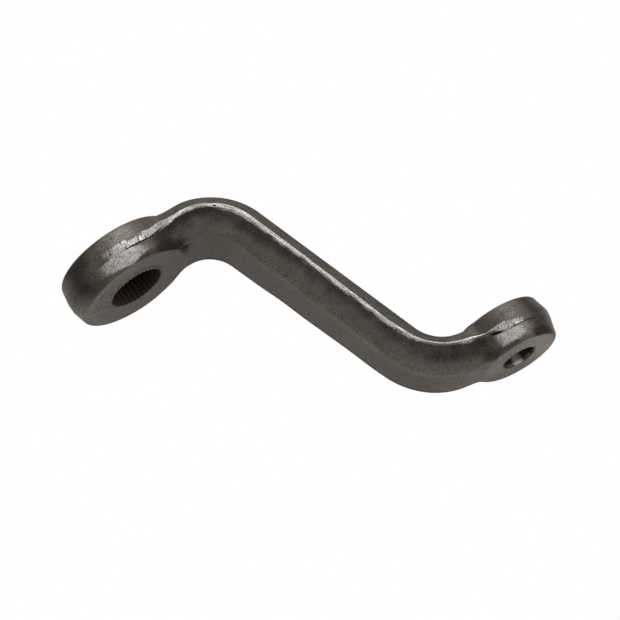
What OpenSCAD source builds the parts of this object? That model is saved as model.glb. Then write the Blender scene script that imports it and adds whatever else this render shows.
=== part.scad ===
// Drop pitman arm, forged in one piece: a serrated eye for the steering gear's shaft,
// an arm that drops away from it, and an eye with a tapered hole for the drag link's stud.
// The origin is the middle of the serrated bore. Z runs up its axis, X towards the stud eye.

/* [Layout] */
// Distance along X between the axes of the two eyes
reach = 144.5; // [130:0.5:175]
// Height of the shaft eye's middle above the stud eye's middle
drop = 134; // [115:0.5:155]
// Lean of the stud eye's axis, its top away from the shaft eye
stud_lean = 5; // [0:0.5:9]

/* [Shaft eye] */
// Diameter of the eye at its flash band
shaft_eye_d = 66.2; // [60:0.2:72]
// Height between the two faces of the eye
shaft_eye_h = 21.6; // [21:0.2:25]
// Height of the flash line on the arm above the middle of this eye
shaft_rise = 4.2; // [3.4:0.1:4.6]
// Diameter over the floors of the serrations, at the upper face
serration_d = 31.75; // [28:0.05:34]
// Number of serrations
serration_n = 36; // [30:2:48]
// Depth of a serration
serration_depth = 1.1; // [0.7:0.05:1.3]
// Fall of the serrations' diameter along the bore, for each unit of length
serration_taper = 0.0625; // [0.04:0.0025:0.08]
// Lead-in chamfer at the upper mouth of the bore
shaft_chamfer = 1; // [0.6:0.1:1.6]

/* [Stud eye] */
// Diameter of the eye at its flash band
stud_eye_d = 48.6; // [45:0.2:54]
// Height between the two faces of the eye
stud_eye_h = 22.8; // [22:0.2:26]
// Height of the flash line on the arm above the middle of this eye
stud_rise = 5.4; // [4.8:0.1:5.9]
// Diameter of the tapered hole at the lower face
stud_d = 18.1; // [14:0.1:20]
// Fall of the hole's diameter along its axis, for each unit of length
stud_taper = 0.125; // [0.1:0.005:0.167]
// Edge break at the lower mouth of the hole
stud_chamfer = 0.6; // [0.3:0.1:1]

/* [Arm] */
// Level stretch from the shaft eye's axis to the upper bend
top_lead = 36; // [35:0.5:42]
// Radius of the upper bend, on the flash line
top_bend_r = 30.5; // [24:0.5:34]
// Radius of the lower bend, on the flash line
low_bend_r = 27; // [22:0.5:30]
// Level stretch from the lower bend to the stud eye's axis
low_lead = 23; // [22:0.5:27]
// Width of the arm at the shaft eye's axis
arm_w_top = 42.6; // [36:0.2:46]
// Width of the arm at the stud eye's axis
arm_w_low = 33.2; // [30:0.2:37]
// Thickness of the arm above the flash line
arm_up = 6.3; // [5.4:0.1:6.4]
// Thickness of the arm below the flash line
arm_down = 13.2; // [12:0.1:13.6]

/* [Forging] */
// Draft of the arm's sides above the flash line
draft_up = 13.5; // [8:0.5:15]
// Draft of the arm's sides below the flash line
draft_down = 11.5; // [8:0.5:15]
// Draft of the eyes' walls above the flash band
eye_draft_up = 10.5; // [7:0.5:14]
// Draft of the eyes' walls below the flash band
eye_draft_down = 13; // [7:0.5:14]
// Rounding of the arm's long edges above the flash line
arm_edge_r = 2.5; // [1.5:0.1:3]
// Rounding of the arm's long edges below the flash line
arm_low_edge_r = 6.5; // [4:0.25:8]
// Rounding of the rims of the eyes
eye_edge_r = 2.1; // [1:0.1:2.4]
// Fillet between the arm's side and the wall of the shaft eye
shaft_fillet_r = 14; // [8:0.5:16]
// Fillet between the arm's side and the wall of the stud eye
stud_fillet_r = 9; // [6:0.5:12]
// Height of the flash band around the middle of each eye
band_h = 4; // [2:0.2:6]
// Hollow fillet around the lower face of each eye
boss_fillet_r = 5; // [3:0.25:6]
// Height of the trimmed flash on the arm's edge
flash_h = 1.8; // [1:0.1:2.4]
// How far the trimmed flash stands out
flash_out = 0.4; // [0.2:0.05:0.7]

/* [Hidden] */
$fn = 96;
forged_steel = [0.31, 0.29, 0.27];
edge_n = 4;
low_edge_n = 8;
bend_n = 14;
lead_n = 13;
over = 1;
sink = 0.7;
cover = 0.35;

// The flash line's path: level, upper bend, straight run, lower bend, level.
// The run is the line that touches both bends from their inner sides.
fall = drop + shaft_rise - stud_rise;
bend_sum = top_bend_r + low_bend_r;
centres_x = reach - top_lead - low_lead;
centres_z = fall - bend_sum;
centres = norm([centres_x, centres_z]);
run = sqrt(centres * centres - bend_sum * bend_sum);
slope = atan2(centres_z, centres_x) + asin(bend_sum / centres);
top_arc = top_bend_r * slope * PI / 180;
low_arc = low_bend_r * slope * PI / 180;
s1 = top_lead;
s2 = s1 + top_arc;
s3 = s2 + run;
s4 = s3 + low_arc;
path_length = s4 + low_lead;
// The loft begins and ends beside the holes, well inside the walls of the eyes.
s_first = serration_d / 2;
s_last = path_length - stud_d / 2 - stud_eye_h * tan(stud_lean);

stations = concat(
    [for (i = [0:lead_n - 1]) s_first + (s1 - s_first) * i / lead_n],
    [for (i = [0:bend_n]) s1 + top_arc * i / bend_n],
    [s2 + run / 2],
    [for (i = [0:bend_n]) s3 + low_arc * i / bend_n],
    [for (i = [1:lead_n]) s4 + (s_last - s4) * i / lead_n]
);

// A point of the path and the angle of its fall, at a length s along it.
function on_path(s) =
    s <= s1 ? [s, shaft_rise, 0] :
    s <= s2 ? let (a = slope * (s - s1) / top_arc)
        [top_lead + top_bend_r * sin(a), shaft_rise - top_bend_r * (1 - cos(a)), a] :
    s <= s3 ? let (a = slope, t = s - s2)
        [top_lead + top_bend_r * sin(a) + t * cos(a),
         shaft_rise - top_bend_r * (1 - cos(a)) - t * sin(a), a] :
    s <= s4 ? let (a = slope * (s4 - s) / low_arc)
        [reach - low_lead - low_bend_r * sin(a), stud_rise - drop + low_bend_r * (1 - cos(a)), a] :
    [reach - path_length + s, stud_rise - drop, 0];

// How much a fillet of radius f adds to the half width h, at a distance d from the axis
// of an eye of radius r.
function flare(d, r, h, f) =
    let (far = sqrt(pow(r + f, 2) - pow(h + f, 2)), near = far * r / (r + f))
    d >= far ? 0 :
    d <= near ? (h + f) * r / (r + f) - h :
    f - sqrt(f * f - pow(far - d, 2));

function half_width(s) =
    let (h = (arm_w_top + (arm_w_low - arm_w_top) * s / path_length) / 2)
    h + flare(s, shaft_eye_d / 2 - sink, h, shaft_fillet_r)
      + flare(path_length - s, stud_eye_d / 2 - sink, h, stud_fillet_r);

// How much a hollow fillet adds under the arm at a distance d from an eye's axis, where the
// eye's face of radius r stands out by step. It meets the rounded rim where both slope alike.
function boss(d, r, step) =
    let (a = acos(max(0.3, 1 - step / (boss_fillet_r + eye_edge_r))),
         out = r - eye_edge_r + (boss_fillet_r + eye_edge_r) * sin(a) - sink / 2,
         deep = boss_fillet_r * sin(a))
    d >= out ? 0 :
    out - d <= deep ? boss_fillet_r - sqrt(pow(boss_fillet_r, 2) - pow(out - d, 2)) :
    min(step - cover, boss_fillet_r * (1 - cos(a)) + (out - d - deep) * tan(a));

shaft_step = shaft_eye_h / 2 + shaft_rise - arm_down;
shaft_face_r = shaft_eye_d / 2 - (shaft_eye_h - band_h) / 2 * tan(eye_draft_down);
stud_face_r = stud_eye_d / 2 - (stud_eye_h - band_h) / 2 * tan(eye_draft_down);
function stud_step(x) =
    stud_eye_h / 2 / cos(stud_lean) - (reach - x) * tan(stud_lean) + stud_rise - arm_down;
function under(x, y) =
    x < reach / 2 ? boss(norm([x, y]), shaft_face_r, shaft_step) :
    boss(norm([x - reach, y]), stud_face_r, max(stud_step(x), 2 * cover));

// The arm's top stays under the upper face of each eye that it runs into.
function lid(x, y) =
    norm([x, y]) < shaft_face_r - eye_edge_r ? shaft_eye_h / 2 - shaft_rise - cover :
    norm([x - reach, y]) < stud_face_r - eye_edge_r ?
        stud_eye_h / 2 / cos(stud_lean) + (reach - x) * tan(stud_lean) - stud_rise - cover :
    arm_up;

// The outline of one half of the arm's section, from the middle of its top to the middle of
// its underside, as [y, n]: n is the height above the flash line, square to the path.
function corner(h, t, draft, side, r, count) =
    let (y = h - (t - r) * tan(draft) - r / cos(draft))
    [for (i = [0:count]) let (a = 90 - (90 - draft) * i / count)
        [y + r * cos(a), side * (t - r + r * sin(a))]];

function turned(list) = [for (i = [len(list) - 1:-1:0]) list[i]];

function half_section(h) =
    let (top = corner(h, arm_up, draft_up, 1, arm_edge_r, edge_n),
         low = turned(corner(h, arm_down, draft_down, -1, arm_low_edge_r, low_edge_n)),
         foot = flash_h / 2 + flash_out)
    concat(
        [[0, arm_up], [top[0].x / 2, arm_up]],
        top,
        [[h - foot * tan(draft_up), foot], [h + flash_out, flash_h / 2]],
        [[h + flash_out, -flash_h / 2], [h - foot * tan(draft_down), -foot]],
        low,
        [for (i = [5:-1:0]) [low[low_edge_n].x * i / 6, -arm_down]]
    );

half_n = len(half_section(arm_w_low / 2));
ring_n = 2 * half_n - 2;
low_first = half_n - low_edge_n - 7;

// One closed ring of the loft. The points of the underside go down to meet the eyes' faces.
function ring(s) =
    let (p = on_path(s), half = half_section(half_width(s)),
         side = [for (i = [0:half_n - 1]) let (q = half[i],
             x = p[0] + q.y * sin(p[2]),
             n = i < low_first ? min(q.y, lid(x, q.x)) : q.y - under(x, q.x))
             [p[0] + n * sin(p[2]), q.x, p[1] + n * cos(p[2])]])
    concat(side, [for (i = [half_n - 2:-1:1]) [side[i].x, -side[i].y, side[i].z]]);

module arm() {
    rings = [for (s = stations) ring(s)];
    count = len(rings);
    middle = [0, 0, (arm_up - arm_down) / 2];
    first = on_path(s_first);
    last = on_path(s_last);
    points = concat(
        [for (r = rings) each r],
        [[first[0], 0, first[1]] + middle, [last[0], 0, last[1]] + middle]
    );
    skin = [for (i = [0:count - 2], j = [0:ring_n - 1])
        let (a = i * ring_n + j, b = i * ring_n + (j + 1) % ring_n)
        each [[a, b, b + ring_n], [a, b + ring_n, a + ring_n]]];
    ends = [for (j = [0:ring_n - 1])
        let (k = (j + 1) % ring_n, end = (count - 1) * ring_n)
        each [[count * ring_n, k, j], [count * ring_n + 1, end + j, end + k]]];
    polyhedron(points, concat(skin, ends), convexity = 8);
}

// An eye as it leaves the dies: a band of flash around its middle, walls that draw in above
// and below it, and rounded rims.
function rim(r, h, draft) =
    let (y = r - (h - band_h / 2 - eye_edge_r) * tan(draft) - eye_edge_r / cos(draft))
    [for (i = [0:edge_n]) let (a = draft + (90 - draft) * i / edge_n)
        [y + eye_edge_r * cos(a), h - eye_edge_r + eye_edge_r * sin(a)]];

module eye(d, h) {
    upper = rim(d / 2, h / 2, eye_draft_up);
    lower = turned(rim(d / 2, h / 2, eye_draft_down));
    rotate_extrude()
        polygon(concat(
            [[0, -h / 2]],
            [for (p = lower) [p.x, -p.y]],
            [[d / 2, -band_h / 2], [d / 2, band_h / 2]],
            upper,
            [[0, h / 2]]
        ));
}

// The serrated bore narrows downwards, so the arm draws up onto the shaft.
module serrated_bore() {
    h = shaft_eye_h + 2 * over;
    low_d = serration_d - serration_taper * (shaft_eye_h + over);
    top_d = serration_d + serration_taper * over;
    root = low_d / 2;
    tip = root * (1 - 2 * serration_depth / serration_d);
    pitch = 360 / serration_n;
    translate([0, 0, -h / 2])
        linear_extrude(height = h, scale = top_d / low_d)
            polygon([for (i = [0:serration_n - 1], k = [[root, -0.06], [root, 0.06], [tip, 0.4], [tip, 0.6]])
                k[0] * [cos(pitch * (i + k[1])), sin(pitch * (i + k[1]))]]);
    translate([0, 0, shaft_eye_h / 2 - shaft_chamfer])
        cylinder(h = shaft_chamfer + over, d1 = serration_d - 2 * serration_depth,
                 d2 = serration_d - 2 * serration_depth + 2 * (shaft_chamfer + over));
}

// The stud's hole narrows upwards, so the nut on top draws the stud in.
module stud_hole() {
    h = stud_eye_h + 2 * over;
    translate([0, 0, -h / 2])
        cylinder(h = h, d1 = stud_d + stud_taper * over, d2 = stud_d - stud_taper * (stud_eye_h + over));
    translate([0, 0, -h / 2])
        cylinder(h = stud_chamfer + over, d1 = stud_d + 2 * (stud_chamfer + over), d2 = stud_d);
}

module at_stud_eye() {
    translate([reach, 0, -drop])
        rotate([0, stud_lean, 0])
            children();
}

module pitman_arm() {
    color(forged_steel)
        difference() {
            union() {
                arm();
                eye(shaft_eye_d, shaft_eye_h);
                at_stud_eye()
                    eye(stud_eye_d, stud_eye_h);
            }
            serrated_bore();
            at_stud_eye()
                stud_hole();
        }
}

pitman_arm();
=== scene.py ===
import math
import bmesh
import bpy
import numpy as np
from mathutils import Matrix, Vector


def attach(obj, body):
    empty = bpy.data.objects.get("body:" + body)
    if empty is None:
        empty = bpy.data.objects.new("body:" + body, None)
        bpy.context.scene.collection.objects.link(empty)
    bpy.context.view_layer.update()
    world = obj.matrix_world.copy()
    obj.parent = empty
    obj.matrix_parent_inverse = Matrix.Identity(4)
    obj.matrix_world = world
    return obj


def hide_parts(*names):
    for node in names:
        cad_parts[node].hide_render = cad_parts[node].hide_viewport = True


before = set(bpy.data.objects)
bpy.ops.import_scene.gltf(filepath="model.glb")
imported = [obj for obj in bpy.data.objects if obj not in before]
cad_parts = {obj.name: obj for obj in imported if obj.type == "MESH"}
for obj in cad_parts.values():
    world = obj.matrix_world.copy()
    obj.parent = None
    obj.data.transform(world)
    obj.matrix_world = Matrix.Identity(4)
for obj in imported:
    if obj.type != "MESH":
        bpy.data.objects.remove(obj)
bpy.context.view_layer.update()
scene = bpy.context.scene
scene.view_settings.view_transform = "Standard"
mm = 0.001
deg = math.radians
print("frame loaded:", sorted(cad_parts))


# the camera stands off along azimuth and elevation, turns by roll, and slides across the picture
viewpoint = {
    "azimuth": -20.044, "elevation": -17.674, "roll": -36.336,
    "distance": 1518.26, "slideX": -93.599, "slideY": 19.519,
    "pixelsPerMm": 1.97827, "pictureSize": 620, "sensor": 36.0, "clip": (0.05, 20.0),
}


def placeCamera(v):
    a, e, r = (deg(v[k]) for k in ("azimuth", "elevation", "roll"))
    back = np.array([math.sin(a) * math.cos(e), -math.cos(a) * math.cos(e), math.sin(e)])
    level = np.array([math.cos(a), math.sin(a), 0.0])
    upright = np.cross(back, level)
    across = math.cos(r) * level + math.sin(r) * upright
    upward = -math.sin(r) * level + math.cos(r) * upright
    spot = (v["distance"] * back - v["slideX"] * across - v["slideY"] * upward) * mm
    data = bpy.data.cameras.new("photoCamera")
    data.sensor_width = v["sensor"]
    data.lens = v["sensor"] * v["pixelsPerMm"] * v["distance"] / v["pictureSize"]
    data.clip_start, data.clip_end = v["clip"]
    camera = bpy.data.objects.new("photoCamera", data)
    turn = Matrix([across, upward, back]).transposed().to_4x4()
    camera.matrix_world = Matrix.Translation(spot) @ turn
    scene.collection.objects.link(camera)
    scene.camera = camera


placeCamera(viewpoint)
print("camera placed")


# sizes of the forging in mm and degrees
forging = {
    "reach": 144.5, "drop": 134.0, "lean": 5.0,
    "shaftR": 33.1, "shaftH": 21.6, "shaftRise": 4.2,
    "studR": 24.3, "studH": 22.8, "studRise": 5.4,
    "topLead": 36.0, "topBendR": 30.5, "lowBendR": 27.0, "lowLead": 23.0,
    "widthTop": 42.6, "widthLow": 33.2, "armUp": 6.3, "armDown": 13.2,
    "draftUp": 13.5, "draftDown": 11.5, "eyeDraftUp": 10.5, "eyeDraftDown": 13.0,
    "armEdge": 2.5, "armLowEdge": 6.5, "eyeEdge": 2.1,
    "shaftFillet": 14.0, "studFillet": 9.0, "filletAt": 0.8,
    "bossFillet": 5.0, "bossSpread": 11.0, "spreadFrom": (0.74, 0.99), "steepest": 0.3, "studStepLess": 1.4,
    "shaftTopFillet": (26.0, 40.0), "studTopFillet": (22.3, 26.2),
    "flashH": 1.8, "flashOut": 0.4, "flashBevel": 0.35, "bandTop": 1.8, "bandLow": -2.4,
    "serrationD": 31.75, "serrations": 36, "serrationDepth": 1.1, "serrationTaper": 0.0625,
    "floorShare": 0.06, "tipShare": 0.40, "shaftChamfer": 1.0,
    "studD": 18.1, "studTaper": 0.125, "studChamfer": 0.6, "edgeBreak": 0.22,
    # where the flash turns into each eye's band, at its upper and at its lower edge
    "shaftBandStart": (12.0, 8.5), "shaftBandEnd": (25.5, 29.5),
    "studBandStart": 26.0, "studBandEnd": (13.0, 3.0),
}
f = forging

# how finely the skin is divided
division = {
    "shaftJoin": 41.0, "studJoin": 33.0, "rings": 190, "across": 44, "shaftSide": 122, "studSide": 74,
    "topSteps": 16, "lowSteps": 36, "boreSteps": 14, "chamferSteps": 4, "studSector": 36.0,
    "arcLevels": 8, "upLevels": 5, "flashLevels": 7, "lowLevels": 10,
    "circleSamples": 1500, "sideSamples": 800, "shareRounds": 120, "shareStep": 0.2, "weldPerMm": 2000,
}

# the underside is a little full near the low bend and thin high on the straight run,
# and has a hollow pressed in just outside the larger boss's rim, on the near side
unevenness = {
    "belly": [(0.5, ("s", 158, 172, 12)), (-0.45, ("s", 100, 112, 10))],
    "dimpleAt": (28.0, -16.0), "dimpleR": 5.0, "dimpleH": 1.1, "dimpleFrom": (-1.0, 2.5),
}

# the path of the flash line: level, upper bend, straight run, lower bend, level
bendSum = f["topBendR"] + f["lowBendR"]
centresX = f["reach"] - f["topLead"] - f["lowLead"]
centresZ = f["drop"] + f["shaftRise"] - f["studRise"] - bendSum
centres = math.hypot(centresX, centresZ)
runLength = math.sqrt(centres ** 2 - bendSum ** 2)
slope = math.atan2(centresZ, centresX) + math.asin(bendSum / centres)
topArc, lowArc = f["topBendR"] * slope, f["lowBendR"] * slope
topStart = f["topLead"]
runStart = topStart + topArc
lowEnd = runStart + runLength + lowArc
pathLength = lowEnd + f["lowLead"]


def smooth(low, high, x):
    # the smooth step: 3 t squared less 2 t cubed
    t = np.clip((x - low) / (high - low), 0.0, 1.0)
    return t * t * (3.0 - 2.0 * t)


def window(low, high, soft, x):
    # a smooth step up at low times a smooth step down at high
    return smooth(low - soft, low + soft, x) * (1 - smooth(high - soft, high + soft, x))


def bell(middle, width, x):
    # e to the power of less the square of the distance from the middle in widths
    return np.exp(-((x - middle) / width) ** 2)


def shades(rows, at):
    # sum of rows: an amount times its steps (name, low, high) and windows (name, low, high, softness)
    total = 0.0
    for amount, *steps in rows:
        share = amount
        for name, *limits in steps:
            share = share * (window if len(limits) == 3 else smooth)(*limits, at[name])
        total = total + share
    return total


def column(values):
    return values[:, None]


def onPath(s, y, n):
    # a point of the path at length s, plus y across it, plus n along its normal
    topA = slope * np.clip((s - topStart) / topArc, 0, 1)
    lowA = slope * np.clip((lowEnd - s) / lowArc, 0, 1)
    runT = np.clip(s - runStart, 0, runLength)
    x = np.minimum(s, topStart) + f["topBendR"] * np.sin(topA) + runT * math.cos(slope)
    x = x + f["lowBendR"] * (math.sin(slope) - np.sin(lowA)) + np.maximum(s - lowEnd, 0)
    z = f["shaftRise"] - f["topBendR"] * (1 - np.cos(topA)) - runT * math.sin(slope)
    z = z - f["lowBendR"] * (np.cos(lowA) - math.cos(slope))
    fallA = np.minimum(topA, lowA)
    return np.stack(np.broadcast_arrays(x + n * np.sin(fallA), y, z + n * np.cos(fallA)), -1)


def onStudEye(s, y, n):
    # the same, on the level of the stud eye, which leans about its middle
    b = deg(f["lean"])
    u, w = s - pathLength, n + f["studRise"]
    x = f["reach"] + u * math.cos(b) + w * math.sin(b)
    z = -f["drop"] - u * math.sin(b) + w * math.cos(b)
    return np.stack(np.broadcast_arrays(x, y, z), -1)


def bossShare(armward, y, faceR, step):
    # share of the step from arm to eye face, by distance from the axis: a rounded rim, then a hollow fillet
    # that grows wider towards the arm
    d = np.hypot(armward, y)
    rim = f["eyeEdge"]
    hollow = f["bossFillet"] + f["bossSpread"] * smooth(*f["spreadFrom"], armward / np.maximum(d, 1))
    a = np.arccos(np.maximum(f["steepest"], 1 - step / (rim + hollow)))
    start = faceR - rim
    turn = start + rim * np.sin(a)
    end = start + (rim + hollow) * np.sin(a)
    convex = rim - np.sqrt(np.maximum(rim ** 2 - np.clip(d - start, 0, rim * np.sin(a)) ** 2, 0))
    hollowIn = hollow - np.sqrt(np.maximum(hollow ** 2 - np.clip(end - d, 0, hollow * np.sin(a)) ** 2, 0))
    whole = (rim + hollow) * (1 - np.cos(a))
    return np.where(d < turn, 1 - convex / whole, hollowIn / whole)


shaftHalfH, studHalfH = f["shaftH"] / 2, f["studH"] / 2
shaftUp, shaftDown = shaftHalfH - f["shaftRise"], shaftHalfH + f["shaftRise"]
studUp, studDown = studHalfH - f["studRise"], studHalfH + f["studRise"]
shaftFaceR = f["shaftR"] - (shaftHalfH + f["bandLow"]) * math.tan(deg(f["eyeDraftDown"]))
studFaceR = f["studR"] - (studHalfH + f["bandLow"]) * math.tan(deg(f["eyeDraftDown"]))


def lowShare(s, y):
    shaft = bossShare(s, y, shaftFaceR, shaftDown - f["armDown"])
    stud = bossShare(pathLength - s, y, studFaceR, studDown - f["armDown"] - f["studStepLess"])
    return shaft, stud


def topShare(s, y):
    shaft = 1 - smooth(*f["shaftTopFillet"], np.hypot(s, y))
    stud = 1 - smooth(*f["studTopFillet"], np.hypot(s - pathLength, y))
    return shaft, stud


def belly(s):
    return shades(unevenness["belly"], {"s": s})


def dimple(s, y):
    u = unevenness
    spot = bell(0, u["dimpleR"], np.hypot(s - u["dimpleAt"][0], y - u["dimpleAt"][1]))
    inner, outer = (shaftFaceR + d for d in u["dimpleFrom"])
    return u["dimpleH"] * spot * smooth(inner, outer, np.hypot(s, y))


def lowSheet(s, y):
    # underside: the arm's, stepped down to the faces of the eyes
    shaft, stud = lowShare(s, y)
    arm = onPath(s, y, -f["armDown"] - belly(s) - (shaftDown - f["armDown"]) * shaft + dimple(s, y))
    return arm + (onStudEye(s, y, -studDown) - arm) * stud[..., None]


def topSheet(s, y):
    shaft, stud = topShare(s, y)
    arm = onPath(s, y, f["armUp"] + (shaftUp - f["armUp"]) * shaft)
    return arm + (onStudEye(s, y, studUp) - arm) * stud[..., None]


def halfWidth(s):
    return (f["widthTop"] + (f["widthLow"] - f["widthTop"]) * s / pathLength) / 2


def eyeOutline(eyeR, fillet, join, count, halfAt):
    # plan outline of one side, by distance d along the arm: the eye's circle, a fillet, the arm's side;
    # gives its points, its normals, and how far the fillet stands out from the bare circle and side
    h = halfAt(eyeR * f["filletAt"])
    far = math.sqrt((eyeR + fillet) ** 2 - (h + fillet) ** 2)
    near = far * eyeR / (eyeR + fillet)
    angle = np.linspace(math.pi, math.acos(far / (eyeR + fillet)), division["circleSamples"])
    d = np.linspace(near, join, division["sideSamples"])
    grown = fillet - np.sqrt(np.maximum(fillet ** 2 - np.clip(far - d, 0, None) ** 2, 0))
    px = np.concatenate([eyeR * np.cos(angle), d[1:]])
    py = np.concatenate([eyeR * np.sin(angle), (halfAt(d) + grown)[1:]])
    length = np.concatenate([[0], np.cumsum(np.hypot(np.diff(px), np.diff(py)))])
    at = np.linspace(0, length[-1], count + 1)
    qx, qy = np.interp(at, length, px), np.interp(at, length, py)
    tx, ty = np.gradient(qx), np.gradient(qy)
    size = np.hypot(tx, ty)
    nx, ny = -ty / size, tx / size
    nx[0], ny[0] = -1.0, 0.0
    nx[-1], ny[-1] = 0.0, 1.0
    bareEdge = np.maximum(np.sqrt(np.maximum(eyeR ** 2 - qx ** 2, 0)), np.where(qx > 0, halfAt(qx), 0))
    return qx, qy, nx, ny, (qy - bareEdge) * ny


# columns of one side of the wall, from the far end of the shaft eye to the far end of the stud eye
joinA, joinB = division["shaftSide"], division["shaftSide"] + division["rings"]
shaftSide = eyeOutline(f["shaftR"], f["shaftFillet"], division["shaftJoin"], division["shaftSide"], halfWidth)
studSide = eyeOutline(f["studR"], f["studFillet"], division["studJoin"], division["studSide"],
                      lambda d: halfWidth(pathLength - d))
armS = np.linspace(division["shaftJoin"], pathLength - division["studJoin"], division["rings"] + 1)
armLine = (armS, halfWidth(armS), np.zeros(len(armS)), np.ones(len(armS)), np.zeros(len(armS)))
studLine = (pathLength - studSide[0], studSide[1], -studSide[2], studSide[3], studSide[4])
sideS, sideY, sideN, sideM, sideFill = (
    np.concatenate([a[:-1], arm, b[-2::-1]]) for a, arm, b in zip(shaftSide, armLine, studLine))
sideCount = len(sideS)


def profile(up, down, draftUp, draftDown, edge, lowEdge, bandTop, bandLow, crest):
    # one section of the wall from its upper edge to its lower edge, as inset from the outline and height:
    # a rounded edge, a drafted side, the flash with its two bevels, a drafted side, a rounded edge
    tanUp, tanDown = math.tan(deg(draftUp)), math.tan(deg(draftDown))
    bevel = f["flashBevel"]
    a = np.linspace(math.pi / 2, deg(draftUp), division["arcLevels"])
    rimMiddle = (up - bandTop - edge) * tanUp + edge / math.cos(deg(draftUp))
    rimIn, rimN = rimMiddle - edge * np.cos(a), up - edge + edge * np.sin(a)
    b = np.linspace(deg(draftDown), math.pi / 2, division["arcLevels"])
    footMiddle = (bandLow + down - lowEdge) * tanDown + lowEdge / math.cos(deg(draftDown))
    footIn, footN = footMiddle - lowEdge * np.cos(b), lowEdge - down - lowEdge * np.sin(b)
    crestN = np.linspace(bandTop, bandLow, division["flashLevels"] - 2)
    flashIn = np.concatenate([[bevel * tanUp], np.full(len(crestN), -crest), [bevel * tanDown]])
    flashN = np.concatenate([[bandTop + bevel], crestN, [bandLow - bevel]])
    upT = np.linspace(0, 1, division["upLevels"] + 2)[1:-1]
    lowT = np.linspace(0, 1, division["lowLevels"] + 2)[1:-1]
    sideUpIn = rimIn[-1] + (flashIn[0] - rimIn[-1]) * upT
    sideUpN = rimN[-1] + (flashN[0] - rimN[-1]) * upT
    sideLowN = flashN[-1] + (footN[0] - flashN[-1]) * lowT
    sideLowIn = (bandLow - sideLowN) * tanDown
    return (np.concatenate([rimIn, sideUpIn, flashIn, sideLowIn, footIn]),
            np.concatenate([rimN, sideUpN, flashN, sideLowN, footN]))


# levels of the wall, counted from its upper edge down
crestTop = division["arcLevels"] + division["upLevels"] + 1
crestLow = crestTop + division["flashLevels"] - 3
ledgeLevel = crestLow + 1
footLevel = ledgeLevel + division["lowLevels"] + 1
levelCount = footLevel + division["arcLevels"]
level = np.arange(levelCount)

halfFlash = f["flashH"] / 2
shaftBand = f["bandTop"] - f["shaftRise"], f["bandLow"] - f["shaftRise"]
studBand = f["bandTop"] - f["studRise"], f["bandLow"] - f["studRise"]
eyeForm = f["eyeDraftUp"], f["eyeDraftDown"], f["eyeEdge"], f["eyeEdge"]
armIn, armN = profile(f["armUp"], f["armDown"], f["draftUp"], f["draftDown"], f["armEdge"],
                      f["armLowEdge"], halfFlash, -halfFlash, f["flashOut"])
shaftIn, shaftN = profile(shaftUp, shaftDown, *eyeForm, *shaftBand, 0.0)
studIn, studN = profile(studUp, studDown, *eyeForm, *studBand, 0.0)

# how far each column has become eye, at its top edge, at the two edges of the flash and at its foot
downward = smooth(crestLow, footLevel, level)
upward = 1 - smooth(division["arcLevels"] - 2, crestTop, level)
acrossFlash = np.interp(level, [crestTop, crestLow], [0, 1])


def overFlash(ends):
    # a value that changes evenly from the flash's upper edge to its lower edge
    return ends[0] + (ends[1] - ends[0]) * acrossFlash


shaftMid = 1 - smooth(overFlash(f["shaftBandStart"]), overFlash(f["shaftBandEnd"]), column(sideS))
studMid = smooth(pathLength - f["studBandStart"], pathLength - overFlash(f["studBandEnd"]), column(sideS))


def wallShares():
    # the foot's share is the boss's at the foot's own place, found in damped rounds
    shaftFoot, studFoot = shaftMid[:, -1], studMid[:, -1]
    for _ in range(division["shareRounds"]):
        inset = armIn[-1] + (shaftIn[-1] - armIn[-1]) * shaftFoot + (studIn[-1] - armIn[-1]) * studFoot
        shaftNext, studNext = lowShare(sideS - inset * sideN, sideY - inset * sideM)
        shaftFoot = shaftFoot + division["shareStep"] * (shaftNext - shaftFoot)
        studFoot = studFoot + division["shareStep"] * (studNext - studFoot)
    inset = armIn[0] + (shaftIn[0] - armIn[0]) * shaftMid[:, 0] + (studIn[0] - armIn[0]) * studMid[:, 0]
    shaftTop, studTop = topShare(sideS - inset * sideN, sideY - inset * sideM)

    def mix(mid, top, foot):
        return mid + (column(top) - mid) * upward + (column(foot) - mid) * downward

    return mix(shaftMid, shaftTop, shaftFoot), mix(studMid, studTop, studFoot)


shaftShare, studShare = wallShares()


# places on the wall: length along the path, length from its end, angle round each eye from that eye's own +X,
# level, and share across the flash
shaftHalf = sideS < pathLength / 2
shaftTurn = np.degrees(np.arctan2(sideY, sideS))
studTurn = np.degrees(np.arctan2(sideY, sideS - pathLength))
wallAt = {
    "s": column(sideS), "end": column(sideS - pathLength), "level": level, "flash": acrossFlash,
    "shaft": column(shaftTurn), "stud": column(studTurn),
}


def onWall(rows):
    return shades(rows, wallAt)


# the flash line sways along the arm, and trimming left ledges, notches and a curled edge in mm
trimming = {
    "swayAt": [24, 31, 38, 51, 66, 85, 104, 123, 143, 162, 176, 189, 199, 208],
    "swayLift": [0, 0.7, 1.0, 0.8, 0.1, -0.3, -0.2, -0.5, -0.8, -1.1, 0.2, 1.0, 0.9, 0], "swayMean": 6,
    "ledges": [(0.42, ("shaft", 50, 97, 7)), (0.5, ("stud", 110, 126, 7)), (0.34, ("stud", 60, 101, 5))],
    "ledgeFade": 3.5, "topNotch": 0.7, "studNotch": 0.9, "studNotchAt": (-21.5, 3.2),
    "curlDepth": 1.1, "curlAlong": (22.0, 6.0), "curlLevel": (31.5, 3.5),
    "shoulder": [(0.45, ("s", 32, 46, 9))], "bulge": [(0.5, ("stud", 64, 26), ("level", 10, 16.5, 2.5))],
}


def runningMean(values, width):
    # running mean along the wall, its ends held
    held = np.pad(values, width, mode="edge")
    return np.convolve(held, np.ones(2 * width + 1) / (2 * width + 1), mode="valid")


def wallSpot(along, across):
    # a soft round spot of the wall
    return bell(*along, wallAt["s"]) * bell(*across, level)


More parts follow.
